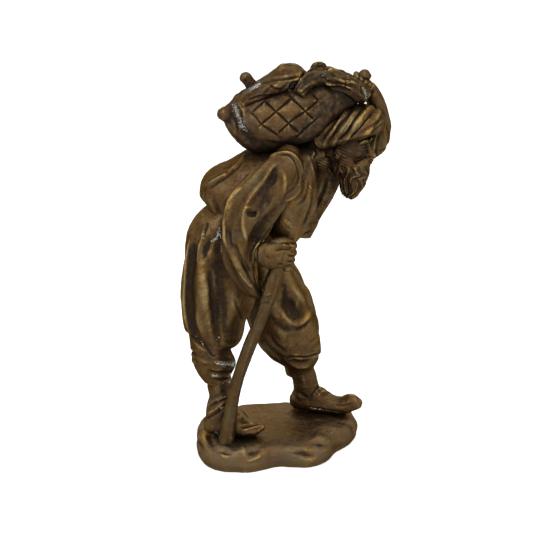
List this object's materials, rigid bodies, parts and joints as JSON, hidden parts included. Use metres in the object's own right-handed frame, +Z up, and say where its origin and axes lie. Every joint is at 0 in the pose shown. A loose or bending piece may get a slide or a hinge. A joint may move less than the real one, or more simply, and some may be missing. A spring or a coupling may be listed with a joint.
{
  "type": "porter figurine",
  "caption": "Brass figurine of a bent old porter in a turban, a netted load of firewood on his back, walking with a stick on a rocky base.",
  "frame": {"origin": "under the middle of the figurine, on the table that its base stands on", "axes": "+X the way the figure walks, +Y the figure's left, +Z up"},
  "size_m": [0.1244, 0.0856, 0.2448],
  "materials": {
    "aged_brass": "cast, brown patina, rubbed bright on the ridges",
    "dark_brass": "cast, dark brown patina",
    "plain_brass": "drawn rod, dull"
  },
  "bodies": {
    "root": {"base": "aged_brass", "right_shoe": "aged_brass", "left_shoe": "aged_brass", "right_leg": "aged_brass", "left_leg": "aged_brass", "coat": "aged_brass", "coat_front_flap": "aged_brass", "right_sleeve": "aged_brass", "right_hand": "aged_brass", "left_sleeve": "aged_brass", "left_hand": "aged_brass", "head": "aged_brass", "turban": "aged_brass", "walking_stick": "aged_brass", "load_basket": "dark_brass", "load_blanket": "dark_brass", "load_branch": "dark_brass", "log_rear_low": "dark_brass", "log_rear_high": "dark_brass", "log_front": "dark_brass", "right_foot_rivet": "plain_brass", "right_foot_washer": "plain_brass", "left_foot_rivet": "plain_brass", "left_foot_washer": "plain_brass", "neck_dowel": "plain_brass", "right_arm_dowel": "plain_brass", "left_arm_dowel": "plain_brass", "load_dowel_front": "plain_brass", "load_dowel_rear": "plain_brass"}
  },
  "joints": []
}
